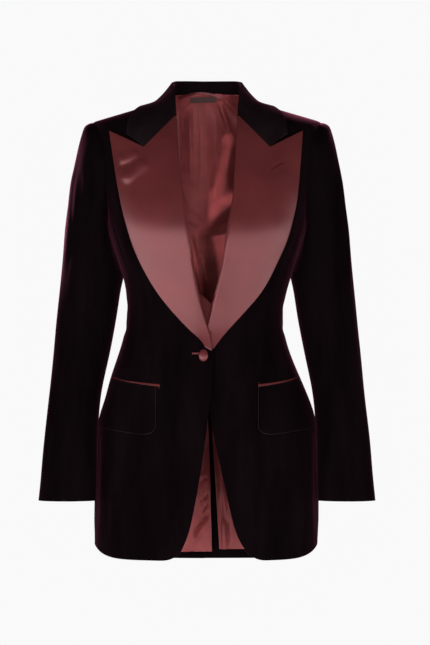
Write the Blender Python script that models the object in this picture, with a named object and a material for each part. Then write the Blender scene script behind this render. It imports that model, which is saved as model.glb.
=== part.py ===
"""A one-button velvet dinner blazer, filled out as it is worn.

Metres, +Z up. The front faces -Y and the wearer's left is +X. The origin lies
between the two neck points, where the wearer's shoulders carry the coat.
All sizes below are in millimetres and angles in degrees. An angle round the
body starts at the front centre and grows towards the wearer's left.
"""

from bisect import bisect
from math import acos, copysign, cos, degrees, radians, sin, sqrt

import bmesh
import bpy
from mathutils import Vector

MM = 0.001
SIDES = {"right": -1, "left": 1}


def table(columns, *rows):
    """A short table with named columns, sorted by its first column."""
    rows = sorted(rows)
    names = columns.split()
    sheet = {name: [row[place] for row in rows] for place, name in enumerate(names)}
    sheet["key"] = sheet[names[0]]
    return sheet


# Cloth walls and the gap left at every seam
VELVET_WALL = 2.0
SATIN_WALL = 2.0
LINING_WALL = 1.0
LABEL_WALL = 0.6
SEAM_GAP = 0.3
SHARP_ANGLE = 50

# The body's rings: depths are measured from the shoulder line, sway moves a ring sideways
RING_SQUARENESS = 2 / 2.3
BODY = table(
    "level half_width front back sway",
    (40, 187, 24, 71, 0),
    (21, 187, 30, 74, 0),
    (12, 187, 36, 76, 0),
    (0, 187, 48, 82, 0),
    (-25, 187, 66, 92, 0),
    (-60, 186, 86, 101, 0),
    (-100, 181, 104, 107, 0),
    (-150, 172, 119, 108, 0),
    (-207, 158.5, 123, 102, 0),
    (-240, 148, 119, 96, 0),
    (-282, 136, 110, 88, 0),
    (-330, 128, 102, 81.5, -3),
    (-362, 129.5, 100.5, 82.5, -4),
    (-400, 139, 102.5, 90, -4),
    (-440, 154, 107, 99, -3),
    (-480, 168, 112, 108, 0),
    (-508, 177, 114.5, 112.5, 0),
    (-560, 181.5, 118, 117.5, 0),
    (-660, 182.5, 121.5, 121.5, -1),
    (-760, 182.5, 124, 125, -2),
)

# The shoulder line, from past the sleeve head up the side of the neck
CREST = table(
    "level half_width",
    (-60, 300), (-25.5, 187), (-5, 120), (3.5, 90), (10.5, 75), (18, 66), (27, 58), (40, 50),
)
SHOULDER_ROUNDING = 60
CREST_SHARPNESS = 12
SHOULDER_LEVELS = (-150, 38)
HALVINGS = 40

# Hem: the fronts' level, the lift at the sides, the drop behind, the round front corner
HEM_LEVEL = -735
HEM_FADE_TOP = -535
HEM_SIDE_LIFT = 20
HEM_SIDE_SHARPNESS = 10
HEM_BACK_DROP = 11
FRONT_CORNER_LIFT = 10
FRONT_CORNER_REACH = 28

# Front edges below the break and roll lines above it, as sideways places of each front's edge
FRONT_EDGE = table(
    "level right left",
    (-760, -50, 75), (-735, -44, 67), (-690, -29, 47), (-640, -18, 34), (-580, -8, 21),
    (-515, 1, 7), (-450, 8, -3), (-395, 9, -8), (-357, -3, 4), (-300, -20, 20),
    (-235, -31, 34), (-165, -40, 43), (-95, -47, 48), (-21, -52, 52), (0, -59, 59),
    (12, -63.5, 63.5), (18, -67, 67),
)
BREAK_LEVEL = -395
GORGE_LEVEL = -21
NECK_POINT_LEVEL = 18
BACK_NECK_LEVEL = 21

# The fronts overlap at the button: how far each moves out, and where that fades away
CLOSING_LIFT = {"right": 3.2, "left": -3.0}
CLOSING_NEAR, CLOSING_FAR = 15, 60
CLOSING_LEVELS = (-600, -520, -350, -270)

# Armhole, an oval seen from the side
ARMHOLE_LEVEL = -116
ARMHOLE_HALF_HEIGHT = 91
ARMHOLE_FRONT, ARMHOLE_BACK = 54, 50
ARMHOLE_STEP = 15
FRONT_JOIN, BACK_JOIN = 120, 240

# Cross rows of the body panels from the hem to the side seams' tops
LOW_LEVELS = (-735, -718, -690, -650, -615, -580, -545, -510, -480, -450, -420, -395, -375,
              -357, -330, -300, -268, -235, -200)
UNDERARM_LEVEL = ARMHOLE_LEVEL + ARMHOLE_HALF_HEIGHT * cos(radians(FRONT_JOIN))
ROLL_LEVELS = (-135, -108, -80, -50, -21, -6, 8, 18)
CENTRE_BACK_LEVELS = (-105, -42, 21)
BACK_NECK_ANGLES = (162, 144, 126, 108, 90)
FRONT_COLUMNS, SIDE_COLUMNS, BACK_COLUMNS = 10, 8, 8
SIDE_DIP_START = -300

# Centre vent: the left back laps over the right one, which steps in
VENT_TOP, VENT_START = -510, -480
VENT_LAP = 14
VENT_UNDERLAP = 1
VENT_STEP = 3.0
VENT_STEP_LEVELS = (-490, -445)
VENT_NEAR, VENT_FAR = 15, 60

# Lapels: a half-round fold at the roll line, then the flat part over the chest
FOLD_RADIUS = 2.8
FOLD_CENTRE = 0.8
FOLD_STEPS = 5
LAPEL_LIFT = FOLD_CENTRE + FOLD_RADIUS
NOTCH = (101, -71)
NOTCH_SHARE = 0.54
NOTCH_FADE = 0.4
GORGE_GAP = 0.4
LAPEL_SHARES = (0.18, 0.36, NOTCH_SHARE, 0.69, 0.85, 1.0)
LAPEL_TIP_LEVEL = -43
LAPEL_EDGE = table(
    "level right left",
    (-43, -157, 154), (-111, -146, 148), (-148, -139, 144), (-185, -130, 137), (-211, -122, 129),
    (-243, -111.5, 117), (-264, -101, 108), (-300, -80, 87), (-316, -69, 76), (-342, -49, 54),
    (-353, -39, 45), (-375, -18, 26), (-395, -2, 11),
)

# Collar, given for the left half: the crown of the fold and the leaf's edge, by share of its length
COLLAR = table(
    "share fold_x fold_y fold_z edge_x edge_y edge_z",
    (0.00, 49.5, -62.5, -21, 130, -63.5, -48),
    (0.18, 51, -48, 2, 124, -43, -21),
    (0.36, 53, -24, 23.5, 110, -21, -7),
    (0.52, 55, 4, 37, 100, 14, -1),
    (0.68, 52.5, 34, 44, 89, 46, 0),
    (0.84, 34, 63, 47, 58, 81, -4),
    (1.00, 0, 78, 48, 0, 91, -8),
)
COLLAR_FRONT_SHARES = (0.06, 0.12, 0.28, 0.44)
COLLAR_CORNER = (130, -48)
COLLAR_NOTCH_SHARE = 0.66
COLLAR_LEAF_SHARES = (0.22, 0.44, COLLAR_NOTCH_SHARE, 0.83, 1.0)
COLLAR_NOTCH_FADE = 0.3
NOTCH_DIP = 30
LEAF_SAG = 3.5
COLLAR_FOLD_RADIUS = 3.2
COLLAR_STAND_SHARES = (0, 0.5)
NECK_SEAM_FRONT_SHARE = 0.5

# Sleeves: the outer and inner ends of each ring; an inner place of 0 lies along the body's side
SLEEVE_STEP_OUT = 0.4
SLEEVE_CLEARANCE = 1.2
ARMHOLE_FADE = (1, 0.75, 0.5, 0.3, 0.15)
SLEEVE_RINGS = (
    # outer_x, outer_z, inner_x, inner_z, front_y, back_y
    (187, -25, 0, -207, -54, 50),
    (194, -27.5, 0, -212, -54.5, 50.5),
    (200.5, -32, 0, -217, -55, 51),
    (204.5, -42, 0, -222, -55, 51),
    (210, -62, 0, -229, -55.5, 51.5),
    (216, -90, 0, -238, -56, 52),
    (223, -126, 0, -248, -56.5, 52),
    (228, -166, 0, -258, -57, 52),
    (233, -205, 0, -268, -57, 52),
    (236.5, -250, 0, -280, -57, 51.5),
    (241, -300, 142, -304, -57, 50),
    (246, -350, 149, -350, -58, 44),
    (252, -415, 161.5, -415, -62, 32),
    (258, -475, 173, -475, -67, 19),
    (264.5, -540, 177, -540, -74, 2),
    (269, -595, 178, -595, -80, -8),
    (273.5, -642, 179, -642, -84, -16),
)
SLEEVE_STEP = 15
TOP_SLEEVE_START, TOP_SLEEVE_END = -105, 120

# Pockets: the slanted mouth, the flap under it and the satin jet above it
POCKET_FRONT_X, POCKET_FRONT_LEVEL = 82, -457.5
POCKET_SIDE_ANGLE, POCKET_SIDE_LEVEL = 76, -444
FLAP_DEPTH = 78
FLAP_CORNER = 16
FLAP_GAP = 0.7
FLAP_COLUMNS, FLAP_ROWS = 12, 6
JET_HEIGHT = 5
JET_GAP = 0.4
JET_PROUD = 2.8
JET_ROWS = 2

# Button and the satin strip that binds its buttonhole
BUTTON_X, BUTTON_LEVEL = -6.5, -405
BUTTON_SEAT = 1.3
BUTTON_PROFILE = ((0, 0), (7, 0), (8.5, 1.2), (8.5, 2.2), (7.6, 3.9), (5.2, 5.1), (2.6, 5.6), (0, 5.8))
BUTTON_STEPS = 20
MERGE_DISTANCE = 0.001
BINDING_X = (-26, -1)
BINDING_HEIGHT = 3
BINDING_WALL = 0.6
BINDING_COLUMNS = 5

# Lining of the back, which ends above the hem and at the neck seam
LINING_GAP = 1.4
LINING_HEM_LIFT = 13
LINING_VENT_EDGE = {"right": -1, "left": 15}
LINING_COLUMNS = 13
LINING_CROWDING = 1.5
LINING_FOLDS = (
    # top_x, top_level, foot_x, foot_level, half_width, height
    (-46, -4, -44, -170, 9, 4),
    (-27, -12, -22, -200, 10, 6),
    (48, -40, 12, -165, 13, 6),
    (27, -4, 40, -90, 9, 4),
    (-30, -165, 20, -190, 12, 4),
    (-4, -560, -24, -605, 9, 4),
    (-2, -610, -34, -665, 10, 5),
    (-2, -655, -46, -722, 10, 5),
    (24, -560, 40, -700, 11, 4),
)

# Hanger loop and label at the inside of the back neck
LOOP_X = (-51, 25)
LOOP_LEVEL, LOOP_BOW = 14.5, 8
LOOP_HEIGHT, LOOP_WALL = 4.5, 1.2
LOOP_SLACK = 2.0
LOOP_COLUMNS = 12
TRIM_GAP = 1.1
LABEL_X = (-30, 16)
LABEL_LEVELS = (6.5, 13.8)
LABEL_COLUMNS, LABEL_ROWS = 6, 2

FINISHES = {
    # name: linear colour, roughness, sheen
    "velvet": ((0.006, 0.002, 0.003), 0.9, 0.4),
    "satin": ((0.13, 0.025, 0.028), 0.4, 0.1),
    "lining": ((0.1, 0.02, 0.022), 0.35, 0.1),
    "label": ((0.05, 0.035, 0.033), 0.7, 0.0),
}


def read(curve, column, at):
    """A column's value on the smooth curve through its rows."""
    keys, values = curve["key"], curve[column]
    last = len(keys) - 1
    at = min(max(at, keys[0]), keys[last])
    low = min(max(bisect(keys, at) - 1, 0), last - 1)

    def slope(place):
        before, after = max(place - 1, 0), min(place + 1, last)
        return (values[after] - values[before]) / (keys[after] - keys[before])

    step = keys[low + 1] - keys[low]
    t = (at - keys[low]) / step
    rise = t * t * (3 - 2 * t)
    start_pull = step * slope(low) * t * (1 - t) ** 2
    end_pull = step * slope(low + 1) * t * t * (t - 1)
    return values[low] + (values[low + 1] - values[low]) * rise + start_pull + end_pull


def mix(start, end, share):
    return start + (end - start) * share


def ease(start, end, at):
    """Smooth step that is 0 before start and 1 after end."""
    t = min(max((at - start) / (end - start), 0), 1)
    return t * t * (3 - 2 * t)


def half_width(angle, level):
    """Half width of a ring; the shoulder's corner is sharp on its line and round off it."""
    body = read(BODY, "half_width", level)
    crest = read(CREST, "half_width", level)
    reach = SHOULDER_ROUNDING * (1 - abs(sin(radians(angle))) ** CREST_SHARPNESS)
    overlap = max(reach - abs(body - crest), 0)
    return min(body, crest) - (overlap * overlap / (4 * reach) if overlap else 0)


def torso(angle, level):
    """Point on the outer face of the body."""
    across, ahead = sin(radians(angle)), cos(radians(angle))
    depth = read(BODY, "front" if ahead > 0 else "back", level)
    x = half_width(angle, level) * copysign(abs(across) ** RING_SQUARENESS, across)
    y = -depth * copysign(abs(ahead) ** RING_SQUARENESS, ahead)
    return Vector((read(BODY, "sway", level) + x, y, level))


def torso_normal(angle, level, step=0.5):
    """Direction out of the body's outer face."""
    around = torso(angle + step, level) - torso(angle - step, level)
    upwards = torso(angle, level + step) - torso(angle, level - step)
    return around.cross(upwards).normalized()


def angle_at(x, level):
    """Angle on the front half where a ring reaches a sideways place."""
    low, high = -90.0, 90.0
    for _ in range(HALVINGS):
        middle = (low + high) / 2
        if torso(middle, level).x < x:
            low = middle
        else:
            high = middle
    return low


def angle_at_depth(y, level):
    """Angle on the left half where a ring reaches a depth."""
    depth = read(BODY, "front" if y < 0 else "back", level)
    angle = degrees(acos(min(abs(y) / depth, 1) ** (1 / RING_SQUARENESS)))
    return angle if y < 0 else 180 - angle


def below(point):
    """Angle and level of the body's point straight below a point."""
    low, high = SHOULDER_LEVELS
    for _ in range(HALVINGS):
        level = (low + high) / 2
        depth = read(BODY, "front" if point.y < 0 else "back", level)
        inside = abs(point.y) < depth
        if inside:
            angle = angle_at_depth(point.y, level)
            inside = abs(point.x) < torso(angle, level).x
        if inside:
            low = level
        else:
            high = level
    return copysign(angle_at_depth(point.y, low), point.x), low


def clear_of_body(point, clearance):
    """Move a point out until it stands off the body, and give the body's normal there."""
    angle, level = below(point)
    normal = torso_normal(angle, level)
    height = (point.z - level) * normal.z
    return point + normal * max(clearance - height, 0), normal


def hem_level(angle, level):
    """A cross row's own level: rows near the hem follow its lift and drop."""
    fade = min(max((HEM_FADE_TOP - level) / (HEM_FADE_TOP - HEM_LEVEL), 0), 1)
    lift = HEM_SIDE_LIFT * abs(sin(radians(angle))) ** HEM_SIDE_SHARPNESS
    drop = HEM_BACK_DROP * max(-cos(radians(angle)), 0)
    return level + (lift - drop) * fade


def armhole(turn):
    """Angle and level on the left armhole; turn 0 is its top and 90 its front."""
    level = ARMHOLE_LEVEL + ARMHOLE_HALF_HEIGHT * cos(radians(turn))
    reach = sin(radians(turn))
    depth = ARMHOLE_FRONT if reach > 0 else ARMHOLE_BACK
    if abs(reach) < 1e-6:
        return 90.0, level
    return angle_at_depth(-depth * reach, level), level


SIDE_SEAMS = table(
    "level front back",
    (-760, 58, 113),
    (-450, 60, 112.5),
    (-330, 62, 112),
    (UNDERARM_LEVEL, armhole(FRONT_JOIN)[0], armhole(BACK_JOIN)[0]),
)


def closing(side, x, level):
    """How far a front moves out, or in, where the two lap at the button."""
    low, low_full, high_full, high = CLOSING_LEVELS
    window = ease(low, low_full, level) * (1 - ease(high_full, high, level))
    return CLOSING_LIFT[side] * window * (1 - ease(CLOSING_NEAR, CLOSING_FAR, abs(x)))


def vent_step(side, x, level):
    """How far the right back and its lining step in under the vent's lap."""
    if side == "left":
        return 0.0
    window = 1 - ease(*VENT_STEP_LEVELS, level)
    return -VENT_STEP * window * (1 - ease(VENT_NEAR, VENT_FAR, abs(x)))


def faced(angle, level, lift):
    """Point standing off the body's outer face."""
    return torso(angle, level) + torso_normal(angle, level) * lift


def walled(places, wall, lift):
    """Outer and inner points of a wall from rows of (angle, level); lift gives its stand-off."""
    outer = [[faced(a, z, lift(a, z)) for a, z in row] for row in places]
    inner = [[faced(a, z, lift(a, z) - wall) for a, z in row] for row in places]
    return outer, inner


def trimmed(grid, gap=SEAM_GAP / 2):
    """A copy of a grid with its four edges drawn in by half a seam gap."""
    rows = [[point.copy() for point in row] for row in grid]
    for row in rows:
        for end, neighbour in ((0, 1), (-1, -2)):
            row[end] += (row[neighbour] - row[end]).normalized() * gap
    for end, neighbour in ((0, 1), (-1, -2)):
        for edge, towards in zip(rows[end], rows[neighbour]):
            edge += (towards - edge).normalized() * gap
    return rows


def finish_material(name):
    colour, roughness, sheen = FINISHES[name]
    material = bpy.data.materials.get(name)
    if material is None:
        material = bpy.data.materials.new(name)
        material.use_nodes = True
        shader = material.node_tree.nodes["Principled BSDF"]
        shader.inputs["Base Color"].default_value = (*colour, 1)
        shader.inputs["Roughness"].default_value = roughness
        shader.inputs["Sheen Weight"].default_value = sheen
    return material


def add_object(name, shape, finish):
    """Make a named object from a mesh in millimetres."""
    bmesh.ops.scale(shape, vec=(MM, MM, MM), verts=shape.verts)
    mesh = bpy.data.meshes.new(name)
    shape.to_mesh(mesh)
    shape.free()
    mesh.materials.append(finish_material(finish))
    mesh.shade_smooth()
    mesh.set_sharp_from_angle(angle=radians(SHARP_ANGLE))
    item = bpy.data.objects.new(name, mesh)
    bpy.context.collection.objects.link(item)
    return item


def add_cloth(name, outer, inner, finish):
    """One closed wall: a grid laid on the inner points and extruded to the outer ones."""
    outer, inner = trimmed(outer), trimmed(inner)
    columns = len(outer[0])
    shape = bmesh.new()
    number = shape.verts.layers.int.new("number")
    bmesh.ops.create_grid(shape, x_segments=columns - 1, y_segments=len(outer) - 1, size=1)
    for place, vertex in enumerate(shape.verts):
        vertex[number] = place
    extruded = bmesh.ops.extrude_face_region(shape, geom=shape.faces[:], use_keep_orig=True)
    front = {item for item in extruded["geom"] if isinstance(item, bmesh.types.BMVert)}
    for vertex in shape.verts:
        row, column = divmod(vertex[number], columns)
        vertex.co = (outer if vertex in front else inner)[row][column]
    bmesh.ops.recalc_face_normals(shape, faces=shape.faces)
    if shape.calc_volume(signed=True) < 0:
        bmesh.ops.reverse_faces(shape, faces=shape.faces)
    return add_object(name, shape, finish)


def spread(start, end, count):
    """Even shares between two values, ends included."""
    return [mix(start, end, place / count) for place in range(count + 1)]


def build_front(side):
    sign = SIDES[side]
    places = []
    for level in (*LOW_LEVELS, UNDERARM_LEVEL):
        inner = angle_at(read(FRONT_EDGE, side, level), level)
        outer = sign * read(SIDE_SEAMS, "front", level)
        places.append([(angle, level) for angle in spread(inner, outer, FRONT_COLUMNS)])
    turns = range(FRONT_JOIN - ARMHOLE_STEP, -1, -ARMHOLE_STEP)
    for level, turn in zip(ROLL_LEVELS, turns):
        inner = sign * 90.0
        if level < NECK_POINT_LEVEL:
            inner = angle_at(read(FRONT_EDGE, side, level), level)
        outer, outer_level = armhole(turn)
        angles = spread(inner, sign * outer, FRONT_COLUMNS)
        levels = spread(level, outer_level, FRONT_COLUMNS)
        places.append(list(zip(angles, levels)))
    places = [[hemmed(side, angle, level) for angle, level in row] for row in places]
    outer, inner = walled(places, VELVET_WALL, lambda a, z: closing(side, torso(a, z).x, z))
    add_cloth(f"front_{side}", outer, inner, "velvet")


def hemmed(side, angle, level):
    """A front's place with the hem's shape and its round lower corner."""
    from_edge = abs(torso(angle, level).x - read(FRONT_EDGE, side, HEM_LEVEL))
    fade = ease(HEM_LEVEL + FRONT_CORNER_REACH * 2, HEM_LEVEL, level)
    corner = FRONT_CORNER_LIFT * (1 - min(from_edge / FRONT_CORNER_REACH, 1)) ** 2
    return angle, hem_level(angle, level) + corner * fade


def build_side(side):
    sign = SIDES[side]
    turns = range(FRONT_JOIN, BACK_JOIN + 1, ARMHOLE_STEP)
    top = [armhole(turn) for turn in turns]
    places = []
    for level in (*LOW_LEVELS, UNDERARM_LEVEL):
        rise = ease(SIDE_DIP_START, UNDERARM_LEVEL, level)
        seams = read(SIDE_SEAMS, "front", level), read(SIDE_SEAMS, "back", level)
        row = []
        for angle, (top_angle, top_level) in zip(spread(*seams, SIDE_COLUMNS), top):
            angle = mix(angle, top_angle, rise)
            dipped = level + (top_level - UNDERARM_LEVEL) * rise
            row.append((sign * angle, hem_level(angle, dipped)))
        places.append(row)
    outer, inner = walled(places, VELVET_WALL, lambda a, z: 0.0)
    add_cloth(f"side_{side}", outer, inner, "velvet")


def back_neck_level(angle):
    """Level of the back neck seam, from the neck point to the centre back."""
    return mix(BACK_NECK_LEVEL, NECK_POINT_LEVEL, ((180 - abs(angle)) / 90) ** 2)


def vent_edge(level, lap):
    """Sideways place of a back's centre edge, which laps below the vent's top."""
    return lap * (1 - ease(VENT_TOP, VENT_START, level))


def back_places(side, lap, hem_lift, shares):
    """Angles and levels of a back's cross rows, from the centre to the side seam and armhole."""
    sign = SIDES[side]
    places = []
    for level in (LOW_LEVELS[0] + hem_lift, *LOW_LEVELS[1:], UNDERARM_LEVEL):
        inner = 180 - angle_at(vent_edge(level, lap) + read(BODY, "sway", level), level)
        inner = inner if sign > 0 else inner - 360
        outer = sign * read(SIDE_SEAMS, "back", level)
        angles = [mix(inner, outer, share) for share in shares]
        places.append([(angle, hem_level(angle, level)) for angle in angles])
    ends = [(180, level) for level in CENTRE_BACK_LEVELS]
    ends += [(angle, back_neck_level(angle)) for angle in BACK_NECK_ANGLES]
    turns = range(BACK_JOIN + ARMHOLE_STEP, 361, ARMHOLE_STEP)
    for (angle, level), turn in zip(ends, turns):
        outer, outer_level = armhole(turn)
        places.append([(sign * mix(angle, outer, t), mix(level, outer_level, t)) for t in shares])
    return places


def build_back(side):
    lap = -VENT_LAP if side == "left" else VENT_UNDERLAP
    places = back_places(side, lap, 0, spread(0, 1, BACK_COLUMNS))
    outer, inner = walled(places, VELVET_WALL, lambda a, z: vent_step(side, torso(a, z).x, z))
    add_cloth(f"back_{side}", outer, inner, "velvet")


def lining_fold(x, level):
    """Height of the lining's folds, soft ridges along slanting lines."""
    height = 0.0
    for top_x, top_level, foot_x, foot_level, half, rise in LINING_FOLDS:
        line = Vector((foot_x - top_x, foot_level - top_level))
        offset = Vector((x - top_x, level - top_level))
        along = offset.dot(line) / line.length_squared
        away = (offset - line * min(max(along, 0), 1)).length / half
        height += rise * (1 - ease(0, 1, away))
    return height


def build_lining(side):
    shares = [share ** LINING_CROWDING for share in spread(0, 1, LINING_COLUMNS)]
    places = back_places(side, LINING_VENT_EDGE[side], LINING_HEM_LIFT, shares)

    def lift(angle, level):
        x = torso(angle, level).x
        return vent_step(side, x, level) - VELVET_WALL - LINING_GAP - lining_fold(x, level)

    outer, inner = walled(places, LINING_WALL, lift)
    add_cloth(f"lining_back_{side}", outer, inner, "lining")


def roll_line(side, level):
    """Roll point, the body's normal there and the direction out past the front's edge."""
    def at(height):
        x = read(FRONT_EDGE, side, height)
        angle = angle_at(x, height)
        return faced(angle, height, closing(side, x, height)), torso_normal(angle, height)

    point, normal = at(level)
    along = at(level + 2)[0] - at(level - 2)[0]
    past = normal.cross(along).normalized()
    return point, normal, past if past.x * SIDES[side] < 0 else -past


def fold_points(side, level, steps):
    """Outer and inner points of the half-round fold at a roll line's level."""
    point, normal, past = roll_line(side, level)
    centre = point + normal * FOLD_CENTRE + past * SEAM_GAP / 2
    rays = [past * sin(radians(turn)) - normal * cos(radians(turn)) for turn in spread(0, 180, steps)]
    outer = [centre + ray * FOLD_RADIUS for ray in rays]
    inner = [centre + ray * (FOLD_RADIUS - SATIN_WALL) for ray in rays]
    return outer, inner


def notch_dip(start, end, notch, notch_share):
    """Sideways and upward move that takes a line's point down to a notch."""
    return notch[0] - mix(start[0], end[0], notch_share), notch[1] - mix(start[1], end[1], notch_share)


def notched(start, end, share, notch_share, dip):
    """Point on a line from start to end that dips to a notch."""
    depth = min(share / notch_share, (1 - share) / (1 - notch_share))
    return mix(start[0], end[0], share) + dip[0] * depth, mix(start[1], end[1], share) + dip[1] * depth


def chest_point(side, x, level, lift):
    """Point standing off a front at a sideways place and level."""
    return faced(angle_at(x, level), level, lift + closing(side, x, level))


def build_lapel(side):
    gorge = read(FRONT_EDGE, side, GORGE_LEVEL), GORGE_LEVEL
    tip = read(LAPEL_EDGE, side, LAPEL_TIP_LEVEL), LAPEL_TIP_LEVEL
    notch = SIDES[side] * NOTCH[0], NOTCH[1] - GORGE_GAP
    full_dip = notch_dip(gorge, tip, notch, NOTCH_SHARE)
    levels = [z for z in (*LOW_LEVELS, UNDERARM_LEVEL, *ROLL_LEVELS) if BREAK_LEVEL <= z <= GORGE_LEVEL]
    outer, inner = [], []
    for level in levels:
        fall = (GORGE_LEVEL - level) / (GORGE_LEVEL - BREAK_LEVEL)
        edge_level = mix(LAPEL_TIP_LEVEL, BREAK_LEVEL, fall)
        start = read(FRONT_EDGE, side, level), level
        end = read(LAPEL_EDGE, side, edge_level), edge_level
        depth = 1 - ease(0, NOTCH_FADE, fall)
        dip = full_dip[0] * depth, full_dip[1] * depth
        flat = [notched(start, end, share, NOTCH_SHARE, dip) for share in LAPEL_SHARES]
        fold_outer, fold_inner = fold_points(side, level, FOLD_STEPS)
        outer.append(fold_outer + [chest_point(side, x, z, LAPEL_LIFT) for x, z in flat])
        inner.append(fold_inner + [chest_point(side, x, z, LAPEL_LIFT - SATIN_WALL) for x, z in flat])
    add_cloth(f"lapel_{side}", outer, inner, "satin")


def neck_seam(share):
    """Angle and level on the left neck seam, by share of the collar's half length."""
    if share < NECK_SEAM_FRONT_SHARE:
        level = mix(GORGE_LEVEL, NECK_POINT_LEVEL, share / NECK_SEAM_FRONT_SHARE)
        return angle_at(read(FRONT_EDGE, "left", level), level), level
    angle = mix(90, 180, (share - NECK_SEAM_FRONT_SHARE) / (1 - NECK_SEAM_FRONT_SHARE))
    return angle, back_neck_level(angle)


def collar_end():
    """Outer and inner points of the collar's front end, along the gorge and the notch."""
    outer, inner = fold_points("left", GORGE_LEVEL, FOLD_STEPS + len(COLLAR_STAND_SHARES))
    start = read(FRONT_EDGE, "left", GORGE_LEVEL), GORGE_LEVEL
    dip = notch_dip(start, COLLAR_CORNER, NOTCH, COLLAR_NOTCH_SHARE)
    for share in COLLAR_LEAF_SHARES:
        x, z = notched(start, COLLAR_CORNER, share, COLLAR_NOTCH_SHARE, dip)
        outer.append(chest_point("left", x, z, LAPEL_LIFT))
        inner.append(chest_point("left", x, z, LAPEL_LIFT - VELVET_WALL))
    return outer, inner


def collar_station(share):
    """Outer and inner points of the collar's section, from the stand's foot to the leaf's edge."""
    crown = Vector([read(COLLAR, f"fold_{axis}", share) for axis in "xyz"])
    edge = Vector([read(COLLAR, f"edge_{axis}", share) for axis in "xyz"])
    seam_angle, seam_level = neck_seam(share)
    seam_normal = torso_normal(seam_angle, seam_level)
    foot = torso(seam_angle, seam_level)
    stand = (foot - crown).normalized()
    leaf = (edge - crown).normalized()
    down = (stand + leaf).normalized()
    apart = (leaf - stand).normalized()
    centre = crown + down * COLLAR_FOLD_RADIUS
    rays = [-apart * cos(radians(t)) - down * sin(radians(t)) for t in spread(0, 180, FOLD_STEPS)]
    outer = [centre + ray * COLLAR_FOLD_RADIUS for ray in rays]
    inner = [centre + ray * (COLLAR_FOLD_RADIUS - VELVET_WALL) for ray in rays]
    foot_outer, foot_inner = foot - seam_normal * VELVET_WALL, foot
    outer = [foot_outer.lerp(outer[0], t) for t in COLLAR_STAND_SHARES] + outer
    inner = [foot_inner.lerp(inner[0], t) for t in COLLAR_STAND_SHARES] + inner
    start = centre + apart * (COLLAR_FOLD_RADIUS - VELVET_WALL / 2)
    dip = 1 - ease(0, COLLAR_NOTCH_FADE, share)
    for t in COLLAR_LEAF_SHARES:
        sag = min(t / COLLAR_NOTCH_SHARE, (1 - t) / (1 - COLLAR_NOTCH_SHARE)) * dip
        line = start.lerp(edge, t) - Vector((0, 0, NOTCH_DIP * sag + LEAF_SAG * sin(radians(180 * t))))
        point, normal = clear_of_body(line, LAPEL_LIFT - VELVET_WALL / 2)
        normal = apart.lerp(normal, t).normalized()
        outer.append(point + normal * VELVET_WALL / 2)
        inner.append(point - normal * VELVET_WALL / 2)
    return outer, inner


def build_collar():
    shares = set(COLLAR_FRONT_SHARES)
    for level in ROLL_LEVELS:
        if level > GORGE_LEVEL:
            shares.add(NECK_SEAM_FRONT_SHARE * (level - GORGE_LEVEL) / (NECK_POINT_LEVEL - GORGE_LEVEL))
    for angle in (180, *BACK_NECK_ANGLES):
        shares.add(mix(NECK_SEAM_FRONT_SHARE, 1, (angle - 90) / 90))
    halves = [collar_end()] + [collar_station(share) for share in sorted(shares)]

    def whole(face):
        left = [half[face] for half in halves]
        right = [[Vector((-p.x, p.y, p.z)) for p in row] for row in left]
        return right + left[-2::-1]

    add_cloth("collar", whole(0), whole(1), "velvet")


def sleeve_ring(side, ring, turn):
    """Point on a sleeve; turn 0 is its outer line and 90 its front."""
    sign = SIDES[side]
    outer_x, outer_z, inner_x, inner_z, front_y, back_y = SLEEVE_RINGS[ring]
    if not inner_x:
        inner_x = abs(torso(sign * 90, inner_z).x) + SLEEVE_CLEARANCE
    swing, reach = cos(radians(turn)), sin(radians(turn))
    x = (outer_x + inner_x) / 2 + (outer_x - inner_x) / 2 * swing
    z = (outer_z + inner_z) / 2 + (outer_z - inner_z) / 2 * swing
    y = (front_y + back_y) / 2 + (front_y - back_y) / 2 * reach
    return Vector((sign * x, y, z))


def sleeve(side, ring, turn):
    """Point on a sleeve whose first rings take on the armhole's shape."""
    point = sleeve_ring(side, ring, turn)
    if ring < len(ARMHOLE_FADE):
        sign = SIDES[side]
        angle, level = armhole(turn % 360)
        seam = torso(sign * angle, level) + Vector((sign * SLEEVE_STEP_OUT, 0, 0))
        point += (seam - sleeve_ring(side, 0, turn)) * ARMHOLE_FADE[ring]
    return point


def sleeve_normal(side, ring, turn, step=2):
    """Direction out of a sleeve."""
    around = sleeve(side, ring, turn + step) - sleeve(side, ring, turn - step)
    before, after = max(ring - 1, 0), min(ring + 1, len(SLEEVE_RINGS) - 1)
    along = sleeve(side, after, turn) - sleeve(side, before, turn)
    return (around.cross(along) * SIDES[side]).normalized()


def build_sleeve(name, side, start, end):
    turns = range(start, end + 1, SLEEVE_STEP)
    rings = range(len(SLEEVE_RINGS))
    outer = [[sleeve(side, ring, turn) for turn in turns] for ring in rings]
    inner = [[sleeve(side, ring, turn) - sleeve_normal(side, ring, turn) * VELVET_WALL
              for turn in turns] for ring in rings]
    add_cloth(f"{name}_{side}", outer, inner, "velvet")


def pocket_place(side, share, fall):
    """Angle and level on a pocket, by share of its mouth and fall below it."""
    sign = SIDES[side]
    level = mix(POCKET_FRONT_LEVEL, POCKET_SIDE_LEVEL, share) - fall
    front = angle_at(sign * POCKET_FRONT_X, level)
    return mix(front, sign * POCKET_SIDE_ANGLE, share), level


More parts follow.
